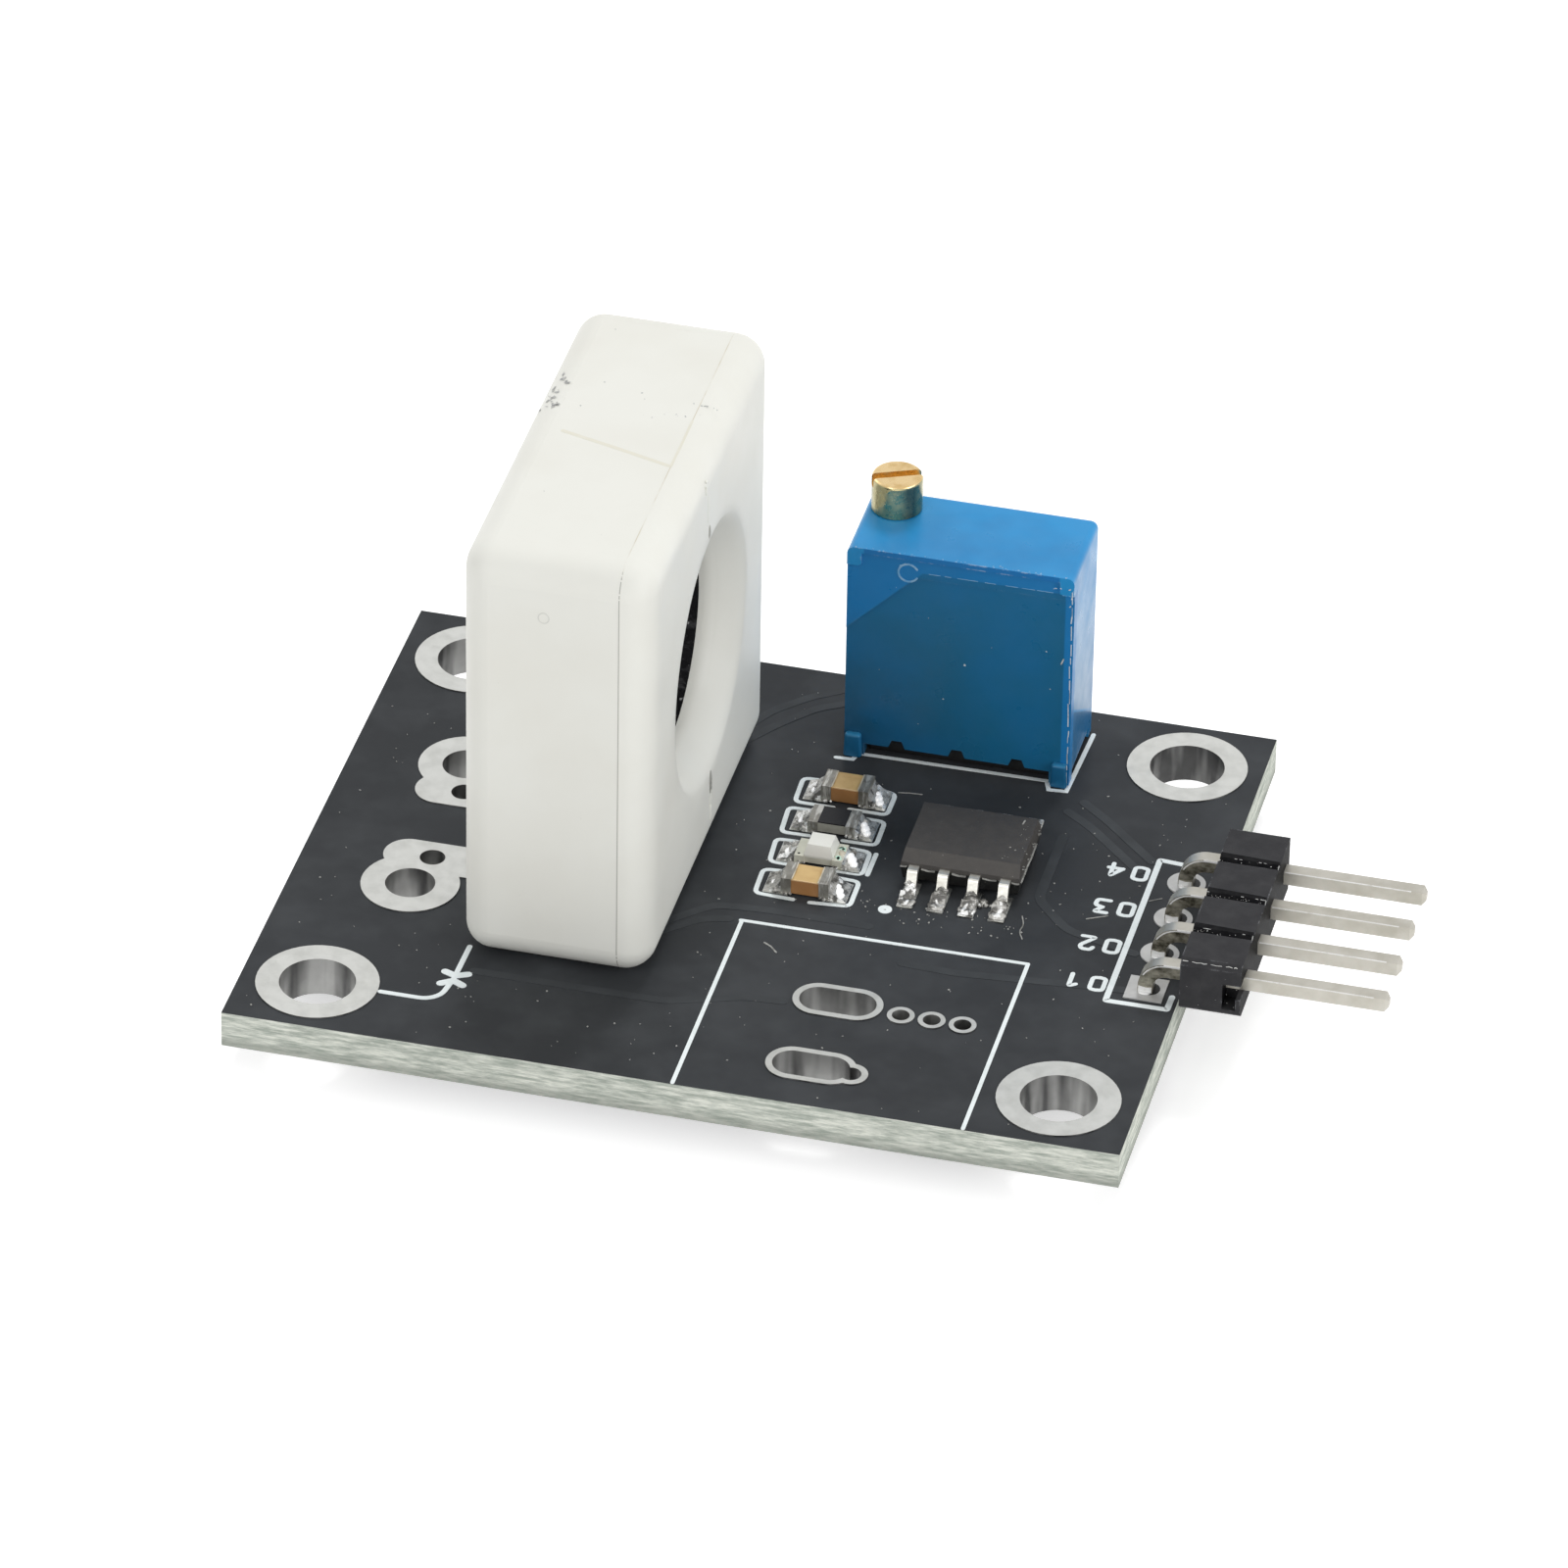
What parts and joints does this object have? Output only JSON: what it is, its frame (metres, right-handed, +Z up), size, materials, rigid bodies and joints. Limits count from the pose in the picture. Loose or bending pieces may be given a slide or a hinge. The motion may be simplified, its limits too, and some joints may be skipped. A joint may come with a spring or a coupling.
{
  "type": "hall effect current sensor",
  "caption": "Current sensing module: a square block with a round bore for the conductor, a screw trimmer, an amplifier chip and a right-angle pin header on a drilled circuit board.",
  "frame": {"origin": "centre of the rectangle of mounting holes, on the circuit board's underside", "axes": "+X from the sensing block to the pin header, along the board's length; +Y across the board to the trimmer's side; +Z up, away from the board's top face"},
  "size_m": [0.0453, 0.03, 0.0227],
  "materials": {
    "tinned_pad": "satin",
    "board_laminate": "gloss",
    "sensor_white": "satin",
    "potting_black": "satin",
    "ferrite": "matte",
    "moulded_black": "matte",
    "trimmer_blue": "satin",
    "screw_brass": "satin",
    "seal_rubber": "matte",
    "wheel_nylon": "satin",
    "wiper_metal": "polished",
    "element_ceramic": "matte",
    "filler_resin": "satin",
    "header_black": "satin",
    "header_metal": "polished",
    "lead_metal": "satin",
    "capacitor_tan": "satin",
    "tin_end": "satin",
    "resistor_black": "gloss",
    "lamp_green": "satin",
    "lamp_clear": "gloss",
    "solder": "bright"
  },
  "bodies": {
    "module": {"amplifier_body": "moulded_black", "amplifier_lead_1": "lead_metal", "amplifier_lead_2": "lead_metal", "amplifier_lead_3": "lead_metal", "amplifier_lead_4": "lead_metal", "amplifier_lead_5": "lead_metal", "amplifier_lead_6": "lead_metal", "amplifier_lead_7": "lead_metal", "amplifier_lead_8": "lead_metal", "amplifier_pads": "tinned_pad", "amplifier_solder": "solder", "chip_pads": "tinned_pad", "chip_solder": "solder", "circuit_board": "board_laminate", "front_capacitor_body": "capacitor_tan", "front_capacitor_ends": "tin_end", "hall_element": "moulded_black", "header_joints": "solder", "header_pin_1": "header_metal", "header_pin_2": "header_metal", "header_pin_3": "header_metal", "header_pin_4": "header_metal", "header_strip": "header_black", "lamp_base": "lamp_green", "lamp_ends": "tin_end", "lamp_lens": "lamp_clear", "lug_pads": "tinned_pad", "mounting_rings": "tinned_pad", "rear_capacitor_body": "capacitor_tan", "rear_capacitor_ends": "tin_end", "resistor_body": "element_ceramic", "resistor_ends": "tin_end", "resistor_film": "resistor_black", "sensor_case": "sensor_white", "sensor_core": "ferrite", "sensor_cover": "sensor_white", "sensor_joints": "solder", "sensor_lead_1": "lead_metal", "sensor_lead_2": "lead_metal", "sensor_lead_3": "lead_metal", "sensor_potting": "potting_black", "spare_pin_plating": "tinned_pad", "spare_slot_plating": "tinned_pad", "trimmer_case": "trimmer_blue", "trimmer_element": "element_ceramic", "trimmer_filler": "filler_resin", "trimmer_joints": "solder", "trimmer_panel": "trimmer_blue", "trimmer_pin_1": "lead_metal", "trimmer_pin_2": "lead_metal", "trimmer_pin_3": "lead_metal"},
    "screw": {"trimmer_screw": "screw_brass", "trimmer_seal": "seal_rubber"},
    "wheel": {"trimmer_wheel": "wheel_nylon", "trimmer_wiper": "wiper_metal"}
  },
  "joints": [
    {"name": "screw_turn", "type": "hinge", "parent": "module", "child": "screw", "pos_m": [0.00255, 0.0126, 0.00686], "axis": [0, 0, 1], "range_deg": [-4500, 4500]},
    {"name": "wheel_turn", "type": "hinge", "parent": "module", "child": "wheel", "pos_m": [0.00615, 0.0126, 0.00686], "axis": [0, 1, 0], "range_deg": [-150, 150]}
  ],
  "couplings": [
    {"joint": "wheel_turn", "follows": "screw_turn", "ratio": -0.033333}
  ]
}
